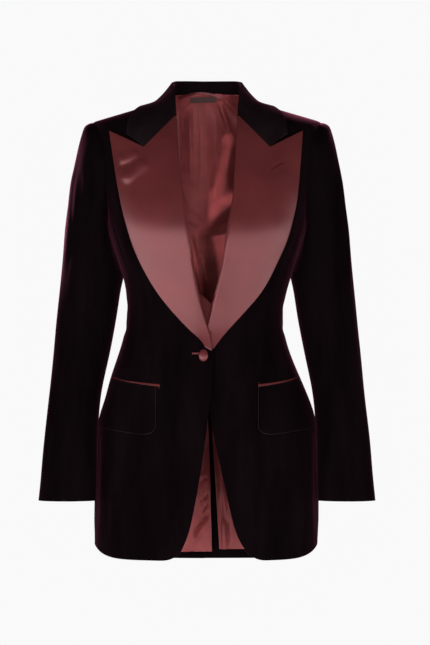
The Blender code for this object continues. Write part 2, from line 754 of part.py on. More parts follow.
def build_pocket(side):
    shares = [(1 - cos(radians(turn))) / 2 for turn in spread(0, 180, FLAP_COLUMNS)]
    mouth = (faced(*pocket_place(side, 0, 0), 0) - faced(*pocket_place(side, 1, 0), 0)).length

    def flap_depth(share):
        to_end = min(share, 1 - share) * mouth
        inset = max(FLAP_CORNER - to_end, 0)
        return FLAP_DEPTH - FLAP_CORNER + sqrt(FLAP_CORNER ** 2 - inset ** 2)

    falls = spread(0, 1, FLAP_ROWS)
    flap = [[pocket_place(side, share, fall * flap_depth(share)) for share in shares] for fall in falls]
    lift = FLAP_GAP + VELVET_WALL
    outer, inner = walled(flap, VELVET_WALL, lambda a, z: lift)
    add_cloth(f"pocket_flap_{side}", outer, inner, "velvet")
    rises = spread(0, JET_HEIGHT, JET_ROWS)
    jet = [[pocket_place(side, share, -rise) for share in shares] for rise in rises]
    outer, inner = walled(jet, JET_PROUD - JET_GAP, lambda a, z: JET_PROUD)
    add_cloth(f"pocket_jet_{side}", outer, inner, "satin")


def build_button():
    shape = bmesh.new()
    profile = [shape.verts.new((radius, 0, height)) for radius, height in BUTTON_PROFILE]
    edges = [shape.edges.new(pair) for pair in zip(profile, profile[1:])]
    bmesh.ops.spin(shape, geom=profile + edges, cent=(0, 0, 0), axis=(0, 0, 1),
                   angle=radians(360), steps=BUTTON_STEPS, use_merge=True)
    bmesh.ops.remove_doubles(shape, verts=shape.verts, dist=MERGE_DISTANCE)
    bmesh.ops.recalc_face_normals(shape, faces=shape.faces)
    angle = angle_at(BUTTON_X, BUTTON_LEVEL)
    normal = torso_normal(angle, BUTTON_LEVEL)
    seat = chest_point("right", BUTTON_X, BUTTON_LEVEL, BUTTON_SEAT)
    turn = normal.to_track_quat("Z", "Y").to_matrix()
    bmesh.ops.rotate(shape, cent=(0, 0, 0), matrix=turn, verts=shape.verts)
    bmesh.ops.translate(shape, vec=seat, verts=shape.verts)
    add_object("button", shape, "satin")


def build_binding():
    levels = spread(BUTTON_LEVEL - BINDING_HEIGHT / 2, BUTTON_LEVEL + BINDING_HEIGHT / 2, 1)
    columns = spread(*BINDING_X, BINDING_COLUMNS)

    def face(lift):
        return [[chest_point("right", x, z, lift) for x in columns] for z in levels]

    add_cloth("buttonhole_binding", face(SEAM_GAP + BINDING_WALL), face(SEAM_GAP), "satin")


def neck_point(x, level, lift):
    """Point on the inside of the back neck."""
    return faced(180 - angle_at(x, level), level, lift)


def build_neck_trim():
    lining_face = -VELVET_WALL - LINING_GAP - LINING_WALL
    columns = spread(*LOOP_X, LOOP_COLUMNS)

    def loop(lift):
        rows = []
        for height in spread(0, LOOP_HEIGHT, 1):
            row = []
            for x in columns:
                share = (x - LOOP_X[0]) / (LOOP_X[1] - LOOP_X[0])
                bow = sin(radians(180 * share))
                level = LOOP_LEVEL + LOOP_BOW * bow + height
                row.append(neck_point(x, level, lift - LOOP_SLACK * bow))
            rows.append(row)
        return rows

    near = lining_face - TRIM_GAP
    add_cloth("hanger_loop", loop(near), loop(near - LOOP_WALL), "satin")

    def label(lift):
        places = spread(*LABEL_X, LABEL_COLUMNS)
        return [[neck_point(x, z, lift) for x in places] for z in spread(*LABEL_LEVELS, LABEL_ROWS)]

    add_cloth("label", label(near), label(near - LABEL_WALL), "label")


def main():
    for item in list(bpy.data.objects):
        bpy.data.objects.remove(item, do_unlink=True)
    for side in SIDES:
        build_front(side)
        build_side(side)
        build_back(side)
        build_lining(side)
        build_lapel(side)
        build_sleeve("top_sleeve", side, TOP_SLEEVE_START, TOP_SLEEVE_END)
        build_sleeve("under_sleeve", side, TOP_SLEEVE_END, TOP_SLEEVE_START + 360)
        build_pocket(side)
    build_collar()
    build_button()
    build_binding()
    build_neck_trim()


main()
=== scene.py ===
from math import pi, radians, sin

import bmesh
import bpy
import numpy as np
from mathutils import Matrix, Vector, noise
from mathutils.bvhtree import BVHTree
from mathutils.kdtree import KDTree


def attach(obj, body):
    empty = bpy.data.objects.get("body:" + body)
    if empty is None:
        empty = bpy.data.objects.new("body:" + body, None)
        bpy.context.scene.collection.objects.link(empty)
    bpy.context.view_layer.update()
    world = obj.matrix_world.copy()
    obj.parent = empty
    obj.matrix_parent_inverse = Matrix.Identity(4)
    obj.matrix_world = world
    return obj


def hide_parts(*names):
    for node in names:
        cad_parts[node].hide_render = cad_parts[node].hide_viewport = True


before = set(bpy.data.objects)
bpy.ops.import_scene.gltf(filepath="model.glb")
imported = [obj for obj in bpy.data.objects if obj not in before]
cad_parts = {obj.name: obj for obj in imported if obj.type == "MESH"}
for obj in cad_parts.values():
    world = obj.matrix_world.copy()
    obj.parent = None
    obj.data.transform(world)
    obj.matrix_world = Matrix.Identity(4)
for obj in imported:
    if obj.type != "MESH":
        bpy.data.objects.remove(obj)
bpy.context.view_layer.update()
scene = bpy.context.scene
mm = 0.001
sides = {"right": -1, "left": 1}  # the wearer's sides, and the way each lies along x
print("frame loaded:", len(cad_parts), "nodes")


def linear(hexCode):
    channels = [int(hexCode[i:i + 2], 16) / 255 for i in (1, 3, 5)]
    return [c / 12.92 if c <= 0.04045 else ((c + 0.055) / 1.055) ** 2.4 for c in channels] + [1]


def addNode(tree, kind, props=(), values=(), links=()):
    node = tree.nodes.new(kind)
    for name, value in dict(props).items():
        setattr(node, name, value)
    for name, value in dict(values).items():
        node.inputs[name].default_value = value
    for name, source in dict(links).items():
        tree.links.new(source, node.inputs[name])
    return node


def startMaterial(name, values):
    mat = bpy.data.materials.new(name)
    mat.use_nodes = True
    shader = mat.node_tree.nodes["Principled BSDF"]
    for socket, value in values.items():
        shader.inputs[socket].default_value = value
    place = addNode(mat.node_tree, "ShaderNodeTexCoord").outputs["Object"]
    return mat, mat.node_tree, shader, place


def noiseScale(sizeMm):
    return 1 / (sizeMm * mm)


def bandScale(stepMm):
    return pi / (10 * stepMm * mm)  # a wave texture of scale 1 has a band every pi / 10


def addTone(tree, shader, source, *stops):
    # colours the cloth by a texture, between two (place, hex) stops
    ramp = addNode(tree, "ShaderNodeValToRGB", links={"Fac": source.outputs["Fac"]})
    for element, (place, hexCode) in zip(ramp.color_ramp.elements, stops):
        element.position = place
        element.color = linear(hexCode)
    tree.links.new(ramp.outputs["Color"], shader.inputs["Base Color"])


def addGloss(tree, shader, source, least, most):
    # a roughness that changes a little from place to place
    gloss = addNode(tree, "ShaderNodeMapRange", values={"To Min": least, "To Max": most},
                    links={"Value": source.outputs["Fac"]})
    tree.links.new(gloss.outputs["Result"], shader.inputs["Roughness"])


def addBump(tree, shader, source, strength, deepMm):
    bump = addNode(tree, "ShaderNodeBump", values={"Strength": strength, "Distance": deepMm * mm},
                   links={"Height": source.outputs["Fac"]})
    tree.links.new(bump.outputs["Normal"], shader.inputs["Normal"])


# Silk velvet with a cut pile: it swallows light head on, and the pile's tips shine at a glancing angle
velvetLook = {
    "sheen": "#ff8ab2", "brushMm": 38,
    "pileMm": 1.4,  # the real pile is about 0.2 mm, drawn coarser so that it shows
    "body": ("#090507", "#100a0c"),
    "collar": ("#140d10", "#1c1417"),  # painted light: a shade lighter than the body's velvet, standing in for light that the stand inside the neck doesn't get
    "edge": ("#2a1f21", "#34292b"),  # lighter along a turned edge: partly the rubbed pile where the ground shows through, partly a painted sheen highlight
}


def makeVelvet(name, deep, brushed):
    mat, tree, shader, place = startMaterial(name, {
        "Roughness": 0.95, "Specular IOR Level": 0,
        "Sheen Weight": 0.18, "Sheen Roughness": 0.3, "Sheen Tint": linear(velvetLook["sheen"]),
    })
    # brush marks run down the cloth, so their pattern is long in z
    along = addNode(tree, "ShaderNodeMapping", values={"Scale": (1, 1, 0.2)}, links={"Vector": place})
    brush = addNode(tree, "ShaderNodeTexNoise",
                    values={"Scale": noiseScale(velvetLook["brushMm"]), "Detail": 4, "Roughness": 0.6},
                    links={"Vector": along.outputs["Vector"]})
    pile = addNode(tree, "ShaderNodeTexNoise",
                   values={"Scale": noiseScale(velvetLook["pileMm"]), "Detail": 2}, links={"Vector": place})
    addTone(tree, shader, brush, (0.36, deep), (0.68, brushed))
    addBump(tree, shader, pile, strength=0.25, deepMm=0.3)
    return mat


# Duchesse satin: long silk floats lie side by side, so its lights are broad and soft, with a faint rib
satinLook = {
    "deep": "#552223", "light": "#602728", "sheen": "#c98a8a", "gleam": "#ffb7ba", "cloudMm": 45,
    "ribMm": 1.1,  # the real floats are 0.15 mm apart, drawn coarser so that they show
    "ribTurn": 14,  # they lie across the lapel, a little off the level
}


def makeSatin():
    mat, tree, shader, place = startMaterial("duchesse_satin", {
        "Specular IOR Level": 0.95, "IOR": 1.54, "Specular Tint": linear(satinLook["gleam"]),
        "Sheen Weight": 0.03, "Sheen Roughness": 0.4, "Sheen Tint": linear(satinLook["sheen"]),
    })
    cloud = addNode(tree, "ShaderNodeTexNoise",
                    values={"Scale": noiseScale(satinLook["cloudMm"]), "Detail": 3, "Roughness": 0.5},
                    links={"Vector": place})
    turned = addNode(tree, "ShaderNodeMapping", values={"Rotation": (0, radians(satinLook["ribTurn"]), 0)},
                     links={"Vector": place})
    rib = addNode(tree, "ShaderNodeTexWave", props={"bands_direction": "Z"},
                  values={"Scale": bandScale(satinLook["ribMm"]), "Distortion": 1.5, "Detail": 1},
                  links={"Vector": turned.outputs["Vector"]})
    addTone(tree, shader, cloud, (0.35, satinLook["deep"]), (0.7, satinLook["light"]))
    addGloss(tree, shader, cloud, least=0.27, most=0.33)
    addBump(tree, shader, rib, strength=0.06, deepMm=0.1)
    return mat


# Acetate lining satin: thinner and slicker than the lapel's, with small pressed wrinkles
liningLook = {"deep": "#783637", "light": "#8a3f40", "gleam": "#ffb7ba", "wrinkleMm": 9, "cloudMm": 30}


def makeLining():
    mat, tree, shader, place = startMaterial("acetate_lining_satin", {
        "Specular IOR Level": 0.45, "IOR": 1.48, "Specular Tint": linear(liningLook["gleam"]),
    })
    cloud = addNode(tree, "ShaderNodeTexNoise",
                    values={"Scale": noiseScale(liningLook["cloudMm"]), "Detail": 3}, links={"Vector": place})
    wrinkle = addNode(tree, "ShaderNodeTexNoise",
                      values={"Scale": noiseScale(liningLook["wrinkleMm"]), "Detail": 2, "Distortion": 0.6},
                      links={"Vector": place})
    addTone(tree, shader, cloud, (0.35, liningLook["deep"]), (0.7, liningLook["light"]))
    addGloss(tree, shader, cloud, least=0.3, most=0.4)
    addBump(tree, shader, wrinkle, strength=0.12, deepMm=0.6)
    return mat


# Woven damask tape: close ribs across a narrow band, matt and a little uneven
tapeLook = {"deep": "#46312e", "light": "#65504c", "ribMm": 0.9}


def makeTape():
    mat, tree, shader, place = startMaterial("woven_label_tape",
                                             {"Roughness": 0.75, "Specular IOR Level": 0.25})
    rib = addNode(tree, "ShaderNodeTexWave", props={"bands_direction": "Z"},
                  values={"Scale": bandScale(tapeLook["ribMm"]), "Distortion": 0.4}, links={"Vector": place})
    addTone(tree, shader, rib, (0.2, tapeLook["deep"]), (0.8, tapeLook["light"]))
    addBump(tree, shader, rib, strength=0.4, deepMm=0.2)
    return mat


# Silk buttonhole twist: a tight round thread, duller and darker than the satin that it edges
twistLook = {"deep": "#380d10", "light": "#5a1c20", "plyMm": 0.5}


def makeTwist():
    mat, tree, shader, place = startMaterial("silk_buttonhole_twist",
                                             {"Roughness": 0.65, "Specular IOR Level": 0.15})
    ply = addNode(tree, "ShaderNodeTexWave", props={"bands_direction": "DIAGONAL"},
                  values={"Scale": bandScale(twistLook["plyMm"])}, links={"Vector": place})
    addTone(tree, shader, ply, (0.1, twistLook["deep"]), (0.9, twistLook["light"]))
    return mat


velvet = makeVelvet("cut_pile_velvet", *velvetLook["body"])
# the collar's velvet is painted lighter, in place of light that doesn't reach its stand
paintedLighterCollarVelvet = makeVelvet("cut_pile_velvet_painted_lighter", *velvetLook["collar"])
wornAndSheenEdgeVelvet = makeVelvet("worn_and_sheen_velvet_edge", *velvetLook["edge"])
satin, lining = makeSatin(), makeLining()
tape, twist = makeTape(), makeTwist()
print("materials made")

# How the CAD walls are read: what counts as one point, as a rim and as a corner of an edge
reading = {
    "mergeMm": 0.002, "joinAngle": 40, "gridPull": 1.5, "rimAngle": 60, "cornerTurn": 38,
    "seamMm": 0.17,  # let out at each edge, because the CAD leaves a hair's gap at the seams
    "sewnMm": 2.2,  # an edge as near as this to another is sewn to it
}


def cadQuads(nodeName):
    # a CAD node's mesh with its points joined and its triangles paired
    bm = bmesh.new()
    bm.from_mesh(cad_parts[nodeName].data)
    bmesh.ops.remove_doubles(bm, verts=bm.verts, dist=reading["mergeMm"] * mm)
    bmesh.ops.join_triangles(bm, faces=bm.faces, angle_face_threshold=radians(reading["joinAngle"]),
                             angle_shape_threshold=pi, topology_influence=reading["gridPull"])
    return bm


def addPiece(name, bm, mat=None):
    # an object of the scene from what bmesh holds
    mesh = bpy.data.meshes.new(name)
    bm.to_mesh(mesh)
    bm.free()
    if mat:
        mesh.materials.append(mat)
    piece = bpy.data.objects.new(name, mesh)
    scene.collection.objects.link(piece)
    return piece


def smoothRegions(bm):
    # groups of faces that are joined by no sharp edge
    found, seen = [], set()
    for first in bm.faces:
        if first in seen:
            continue
        seen.add(first)
        region = [first]
        for face in region:  # the list grows as it is walked
            for edge in face.edges:
                if len(edge.link_faces) == 2 and edge.calc_face_angle() < radians(reading["rimAngle"]):
                    fresh = [near for near in edge.link_faces if near not in seen]
                    seen.update(fresh)
                    region += fresh
        found.append(region)
    return found


def meshPoints(mesh):
    points = np.empty(len(mesh.vertices) * 3)
    mesh.vertices.foreach_get("co", points)
    return points.reshape(-1, 3)


def setPoints(mesh, points):
    mesh.vertices.foreach_set("co", points.ravel())
    mesh.update()


def meshNormals(mesh):
    return np.array([tuple(item.vector) for item in mesh.vertex_normals])


def pointTree(points):
    tree = KDTree(len(points))
    for place, point in enumerate(points):
        tree.insert(point, place)
    tree.balance()
    return tree


def ease(share):
    # 0 to 1 with a soft start and a soft end
    t = np.clip(share, 0, 1)
    return t * t * (3 - 2 * t)


def edgeWays(bm):
    # for each point of the cloth's edge, the way out of the cloth in its own plane
    bm.normal_update()
    ways = {}
    for edge in bm.edges:
        if edge.is_boundary:
            face = edge.link_faces[0]
            out = (edge.verts[1].co - edge.verts[0].co).cross(face.normal).normalized()
            middle = (edge.verts[0].co + edge.verts[1].co) / 2
            if out.dot(middle - face.calc_center_median()) < 0:
                out.negate()
            for vert in edge.verts:
                ways[vert] = ways.get(vert, Vector()) + out
    return {vert: out.normalized() for vert, out in ways.items()}


def letEdges(mesh, amount, chosen=lambda point, out: True):
    # moves the cloth's edge out
    bm = bmesh.new()
    bm.from_mesh(mesh)
    for vert, out in edgeWays(bm).items():
        if chosen(vert.co / mm, out):
            vert.co += out * amount * mm
    bm.to_mesh(mesh)
    bm.free()


def outerSkin(nodeName, levels, letOut=3):
    # the outer face of a CAD wall as smooth quads, without its inner face and its rim
    bm = cadQuads(nodeName)
    outer = set(max(smoothRegions(bm), key=lambda region: sum(face.calc_area() for face in region)))
    bmesh.ops.delete(bm, geom=[face for face in bm.faces if face not in outer], context="FACES")
    corner = bm.verts.layers.float.new("crease_vert")
    for vert in bm.verts:
        rim = [edge.other_vert(vert).co - vert.co for edge in vert.link_edges if edge.is_boundary]
        if len(rim) == 2 and pi - rim[0].angle(rim[1]) > radians(reading["cornerTurn"]):
            vert[corner] = 1  # notches and peaks stay sharp
    piece = addPiece(nodeName + "_cloth", bm)
    mesh = piece.data
    finer = piece.modifiers.new("finer", "SUBSURF")
    finer.levels = finer.render_levels = levels
    finer.boundary_smooth = "PRESERVE_CORNERS"
    wanted = meshPoints(mesh)
    control = wanted.copy()
    # subdivision draws a curve in, so its cage is let out until the cloth meets the CAD's own points
    for _ in range(letOut + 1):
        setPoints(mesh, control)
        smooth = bpy.data.meshes.new_from_object(piece.evaluated_get(bpy.context.evaluated_depsgraph_get()))
        control += wanted - meshPoints(smooth)[:len(wanted)]
    piece.modifiers.clear()
    piece.data = smooth
    smooth.name = nodeName + "_cloth"
    letEdges(smooth, reading["seamMm"])
    return piece


def frontPlaces(points):
    return points[:, [0, 2]] / mm


def sidePlaces(points):
    return points[:, [1, 2]] / mm


# The middle line of the left sleeve, mirrored for the right one
sleeveLine = {"z": (-642, -475, -350, -250, -120, -40), "x": (226, 215, 197, 190, 184, 178),
              "y": (-50, -24, -7, -3, -2, -2), "radius": 50}


def sleevePlaces(points):
    # how far round the sleeve, in mm from its outer line towards the front, and the height
    x, y, z = np.abs(points[:, 0]) / mm, points[:, 1] / mm, points[:, 2] / mm
    out = x - np.interp(z, sleeveLine["z"], sleeveLine["x"])
    ahead = np.interp(z, sleeveLine["z"], sleeveLine["y"]) - y
    return np.column_stack([np.arctan2(ahead, out) * sleeveLine["radius"], z])


def creaseHeights(places, creases, endShare=0.25):
    # each crease is a soft ridge along a line of points, or a trough where its height is negative
    total = np.zeros(len(places))
    for line, half, height in creases:
        line = np.array(line, float)
        lengths = np.linalg.norm(np.diff(line, axis=0), axis=1)
        runs = np.concatenate([[0], np.cumsum(lengths)])
        away, share = np.full(len(places), np.inf), np.zeros(len(places))
        for start, end, run, length in zip(line, line[1:], runs, lengths):
            t = np.clip((places - start) @ (end - start) / length ** 2, 0, 1)
            off = np.linalg.norm(places - start - t[:, None] * (end - start), axis=1)
            share = np.where(off < away, (run + t * length) / runs[-1], share)
            away = np.minimum(off, away)
        ends = ease(np.minimum(share, 1 - share) / endShare)
        total += height * np.clip(1 - (away / half) ** 2, 0, 1) ** 2 * ends
    return total


def edgeFade(mesh, reach):
    # 0 at the cloth's edges and 1 past the reach, so that creases leave the seams closed
    bm = bmesh.new()
    bm.from_mesh(mesh)
    tree = pointTree([vert.co.copy() for vert in bm.verts if vert.is_boundary])
    bm.free()
    away = np.array([tree.find(vert.co)[2] for vert in mesh.vertices])
    return ease(away / (reach * mm))


def pressCreases(piece, places, creases, waver=0, waverMm=70, fadeMm=0, along=None):
    # moves the cloth along its normals, or one way: placed creases, and a slow uneven waver
    mesh = piece.data
    points = meshPoints(mesh)
    ways = np.array(along) if along else meshNormals(mesh)
    heights = creaseHeights(places(points), creases)
    if waver:
        heights += waver * np.array([noise.noise(Vector(point) / (waverMm * mm)) for point in points])
    if fadeMm:
        heights *= edgeFade(mesh, fadeMm)
    setPoints(mesh, points + ways * heights[:, None] * mm)


def tuckEdge(piece, neighbours, depth, out, reach):
    # a set-in edge: where it meets a neighbour's edge it dips in and runs on a little under it
    rims = []
    for other in neighbours:
        found = bmesh.new()
        found.from_mesh(other.data)
        for edge in found.edges:
            if edge.is_boundary:
                start, end = (vert.co for vert in edge.verts)
                rims += [start.lerp(end, share) for share in (0, 0.25, 0.5, 0.75)]
        found.free()
    tree = pointTree(rims)
    bm = bmesh.new()
    bm.from_mesh(piece.data)
    ways = edgeWays(bm)
    sewn = [vert for vert in bm.verts
            if vert.is_boundary and tree.find(vert.co)[2] < reading["sewnMm"] * mm]
    line = pointTree([vert.co for vert in sewn])
    moves = {}
    for vert in bm.verts:
        away = line.find(vert.co)[2]
        if away < reach * mm:
            moves[vert] = vert.normal * -depth * mm * (1 - away / (reach * mm)) ** 2
    for vert in sewn:
        moves[vert] += ways[vert] * out * mm
    for vert, move in moves.items():
        vert.co += move
    bm.to_mesh(piece.data)
    bm.free()


def pressLine(piece, line, half, depth, taper=6):
    # a sewn line: three cuts along it, then the middle one is drawn in, less over a sixth at each end
    bm = bmesh.new()
    bm.from_mesh(piece.data)
    top, foot = (Vector((x, 0, z)) * mm for x, z in line)
    run = foot - top
    across = Vector((run.z, 0, -run.x)).normalized()
    for offset in (-half, 0, half):
        bmesh.ops.bisect_plane(bm, geom=bm.verts[:] + bm.edges[:] + bm.faces[:], dist=1e-6,
                               plane_co=top + across * offset * mm, plane_no=across)
    bm.normal_update()
    moves = []
    for vert in bm.verts:
        t = (Vector((vert.co.x, 0, vert.co.z)) - top).dot(run) / run.length_squared
        if 0 < t < 1 and abs((vert.co - top).dot(across)) < half * mm * 0.5:
            moves.append((vert, vert.normal * -depth * mm * min(1, taper * t, taper * (1 - t))))
    for vert, move in moves:
        vert.co += move
    bm.to_mesh(piece.data)
    bm.free()


def placePiece(piece, node=None):
    # hides the CAD node, if any, that the piece stands in for, and hangs the piece on the root
    if node:
        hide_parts(node)
    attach(piece, "root")


# The turned edges of all cloth: how many steps round them, and from which angle on
turnedEdge = {"steps": 2, "angle": 50}


def finishCloth(piece, node, wall, outside, inside, roundMm=0.6,
                wornAndSheen=None):
    # gives the skin its wall and round edges, and says what it is
    mesh = piece.data
    mesh.shade_smooth()
    for mat in (outside, inside):
        mesh.materials.append(mat)
    thick = piece.modifiers.new("wall", "SOLIDIFY")
    thick.thickness = wall * mm
    thick.offset = -1
    thick.use_quality_normals = True
    thick.material_offset = 1
    edge = piece.modifiers.new("edge", "BEVEL")
    edge.width = roundMm * mm
    edge.segments = turnedEdge["steps"]
    edge.limit_method = "ANGLE"
    edge.angle_limit = radians(turnedEdge["angle"])
    # the rounded edge takes the lighter velvet: a painted sheen highlight, partly rubbed pile
    if wornAndSheen:
        mesh.materials.append(wornAndSheen)
        edge.material = len(mesh.materials) - 1
    placePiece(piece, node)


# The chest rolls forward at and below the bust, fronts and lapels together: broad ridges of (x, z) points
chestRoll = {
    "right": [([(70, -288), (-122, -288)], 96, 3), ([(74, -196), (-158, -196)], 58, 4)],
    "left": [([(-70, -288), (122, -288)], 96, 3), ([(-74, -205), (158, -205)], 58, 4)],
}

# Fronts: velvet, with a waist dart each; creases are (line of x, z points), half width, height, in mm
fronts = {
    "levels": 3, "wall": 2, "flat": (225, 765),
    "darts": {"right": ((-103, -262), (-84, -432)), "left": ((103, -262), (88, -432))},
    "dartHalf": 1.3, "dartDepth": 0.9,
    "creases": {
        "right": [
            ([(-30, -402), (-70, -392), (-118, -366)], 11, 1.1),
            ([(-32, -414), (-74, -424), (-112, -430)], 12, 0.9),
            ([(-100, -540), (-106, -640), (-104, -728)], 26, 2.6),
            ([(-62, -560), (-70, -650), (-74, -730)], 20, -1.8),
            ([(-148, -118), (-138, -165), (-124, -214)], 13, 1.8),
            ([(-150, -560), (-154, -650), (-150, -722)], 18, 2.0),
        ],
        "left": [
            ([(34, -404), (72, -396), (112, -372)], 11, 0.9),
            ([(36, -418), (80, -430), (118, -428)], 13, 1.0),
            ([(102, -552), (110, -640), (112, -726)], 24, 2.4),
            ([(72, -580), (82, -660), (90, -728)], 18, -1.6),
            ([(150, -112), (142, -160), (126, -218)], 14, 1.6),
            ([(150, -548), (156, -640), (152, -722)], 17, 1.8),
        ],
    },
}
skins = {}
for side in sides:
    front = outerSkin("front_" + side, fronts["levels"])
    skins["front_" + side] = front
    pressCreases(front, frontPlaces, chestRoll[side])
    pressCreases(front, frontPlaces, fronts["creases"][side], waver=0.7, fadeMm=14)
    pressLine(front, fronts["darts"][side], fronts["dartHalf"], fronts["dartDepth"])
    finishCloth(front, "front_" + side, fronts["wall"], velvet, lining)

# Side panels: creases are (y, z) points; the armhole's turning stands up inside the sleeve
sidePanels = {
    "levels": 2, "wall": 2, "flat": (150, 560), "turning": 0.35,
    "armhole": {"out": 5, "foot": -230, "rise": 0.25},
    "creases": [
        ([(0, -190), (0, -245), (0, -300)], 40, 1.1),
        ([(-20, -320), (6, -332), (30, -334)], 10, -1.2),
        ([(-34, -352), (-4, -366), (28, -362)], 12, -1.4),
        ([(10, -540), (14, -640), (10, -715)], 24, 2.2),
        ([(-30, -520), (-34, -620), (-30, -710)], 20, -1.6),
    ],
}


def atArmhole(point, out):
    return point.z > sidePanels["armhole"]["foot"] and out.z > sidePanels["armhole"]["rise"]


for side in sides:
    panel = outerSkin("side_" + side, sidePanels["levels"])
    letEdges(panel.data, sidePanels["turning"])
    letEdges(panel.data, sidePanels["armhole"]["out"], atArmhole)
    skins["side_" + side] = panel
    pressCreases(panel, sidePlaces, sidePanels["creases"], waver=0.6, fadeMm=16)
    finishCloth(panel, "side_" + side, sidePanels["wall"], velvet, lining)

# Backs: the same velvet inside too, where it turns up at the hem and the vent
backs = {
    "levels": 3, "wall": 2, "flat": (230, 790), "hem": {"out": 3, "top": -700, "fall": -0.7},
    "creases": {
        "right": [
            ([(-150, -120), (-128, -190), (-112, -262)], 16, 2.2),
            ([(-30, -330), (-70, -342), (-108, -336)], 13, -1.6),
            ([(-28, -372), (-66, -366), (-104, -376)], 14, -1.4),
            ([(-60, -520), (-70, -630), (-66, -735)], 26, 2.8),
            ([(-104, -540), (-110, -640), (-108, -728)], 20, -2.0),
            ([(-22, -40), (-60, -52), (-110, -50)], 16, -1.2),
        ],
        "left": [
            ([(152, -126), (132, -184), (110, -254)], 15, 2.0),
            ([(26, -322), (66, -338), (110, -330)], 14, -1.5),
            ([(30, -362), (72, -372), (100, -366)], 12, -1.5),
            ([(64, -532), (72, -640), (70, -735)], 25, 2.6),
            ([(106, -550), (114, -650), (112, -726)], 19, -1.8),
            ([(24, -46), (64, -54), (112, -46)], 15, -1.2),
        ],
    },
}


def atHem(point, out):
    return point.z < backs["hem"]["top"] and out.z < backs["hem"]["fall"]


for side in sides:
    back = outerSkin("back_" + side, backs["levels"])
    skins["back_" + side] = back
    letEdges(back.data, backs["hem"]["out"], atHem)
    pressCreases(back, frontPlaces, backs["creases"][side], waver=0.7, fadeMm=16)
    finishCloth(back, "back_" + side, backs["wall"], velvet, velvet)

# Sleeves: creases are (mm round from the outer line towards the front, z)
sleeves = {
    "levels": 3, "wall": 2, "topFlat": (260, 640), "underFlat": (160, 470),
    "tuck": {"depth": 1.2, "out": 6, "reach": 8},
    "topCreases": {
        "right": [
            ([(30, -62), (26, -130), (30, -205), (26, -300)], 13, 2.6),
            ([(52, -90), (56, -170), (50, -260)], 15, -1.6),
            ([(84, -322), (60, -345), (28, -352)], 11, -1.7),
            ([(88, -372), (58, -380), (30, -372)], 12, -1.5),
            ([(20, -430), (24, -520), (20, -625)], 18, 1.6),
            ([(-40, -300), (-62, -350), (-66, -420)], 15, -1.6),
        ],
        "left": [
            ([(24, -70), (28, -150), (24, -240), (28, -310)], 13, 2.2),
            ([(56, -96), (50, -180), (54, -268)], 14, -1.5),
            ([(86, -330), (56, -348), (30, -346)], 12, -1.6),
            ([(84, -386), (56, -392), (34, -380)], 11, -1.5),
            ([(26, -440), (22, -530), (26, -622)], 17, 1.5),
            ([(-44, -310), (-60, -352), (-64, -410)], 14, -1.6),
        ],
    },
    "underCreases": [
        ([(-118, -330), (-138, -352), (-152, -360)], 11, -1.5),
        ([(-116, -388), (-136, -396), (-150, -392)], 12, -1.4),
        ([(150, -196), (152, -250), (150, -296)], 26, 0.9),
        ([(-150, -196), (-152, -250), (-150, -296)], 26, 0.9),
    ],
}
for side in sides:
    body = [skins[name + side] for name in ("front_", "side_", "back_")]
    top = outerSkin("top_sleeve_" + side, sleeves["levels"])
    pressCreases(top, sleevePlaces, sleeves["topCreases"][side], waver=0.8, fadeMm=14)
    tuckEdge(top, body, **sleeves["tuck"])
    finishCloth(top, "top_sleeve_" + side, sleeves["wall"], velvet, lining)
    under = outerSkin("under_sleeve_" + side, sleeves["levels"])
    pressCreases(under, sleevePlaces, sleeves["underCreases"], waver=0.6, fadeMm=14)
    tuckEdge(under, body, **sleeves["tuck"])
    finishCloth(under, "under_sleeve_" + side, sleeves["wall"], velvet, lining)

# The collar's stand is drawn up a little inside the neck, with the lining and what is sewn to it
neckLift = {"lift": 5, "standBack": 1.2, "liningBack": -1.7, "foot": -40, "seam": 20, "crest": 48,
            "front": 12, "deep": 36}


def liftNeck(mesh, isStand=False, extra=0):
    points = meshPoints(mesh) / mm
    z = points[:, 2]
    rise = ease((z - neckLift["foot"]) / (neckLift["seam"] - neckLift["foot"]))
    fall = np.clip((neckLift["crest"] - z) / (neckLift["crest"] - neckLift["seam"]), 0, 1)
    behind = np.clip((points[:, 1] - neckLift["front"]) / neckLift["deep"], 0, 1)
    share = rise * fall * behind
    if isStand:  # only the stand's face inside the neck, not the fall over it
        towards = -(meshNormals(mesh)[:, :2] * points[:, :2]).sum(1) / np.linalg.norm(points[:, :2], axis=1)
        share = share * np.clip(2 * towards, 0, 1)
    rises = neckLift["lift"] * share + extra
    points[:, 2] += rises
    points[:, 1] += rises * neckLift["standBack" if isStand else "liningBack"] / neckLift["lift"]
    setPoints(mesh, points * mm)


# Collar: velvet on both faces, folded over its stand; its velvet is painted a shade lighter, standing in for
# light that the stand inside the neck doesn't get
collarCloth = {"levels": 2, "wall": 2, "flat": (470, 100)}
collar = outerSkin("collar", collarCloth["levels"])
liftNeck(collar.data, isStand=True)
pressCreases(collar, frontPlaces, [], waver=0.5, waverMm=60)
finishCloth(collar, "collar", collarCloth["wall"], paintedLighterCollarVelvet, paintedLighterCollarVelvet)

# Lapels: satin that wraps the roll, with soft folds below the right peak
lapels = {
    "levels": 3, "wall": 0.8, "flat": (190, 385),
    "foot": {"top": -366, "run": 28, "middle": -6, "half": 18, "least": -0.5, "most": 1.2,
             "rise": 3.5, "drop": 8, "draw": 4},
    "creases": {
        "right": [
            ([(-146, -91), (-128, -86), (-108, -76)], 11, 2.3),
            ([(-139, -127), (-120, -113), (-93, -91)], 14, 3.4),
            ([(-150, -104), (-128, -99), (-104, -85)], 6, -1.4),
        ],
        "left": [
            ([(98, -92), (116, -84), (138, -78)], 9, 0.8),
            ([(96, -126), (122, -117), (142, -116)], 12, 0.7),
            ([(100, -101), (113, -93), (126, -86)], 6, 0.9),
        ],
    },
}


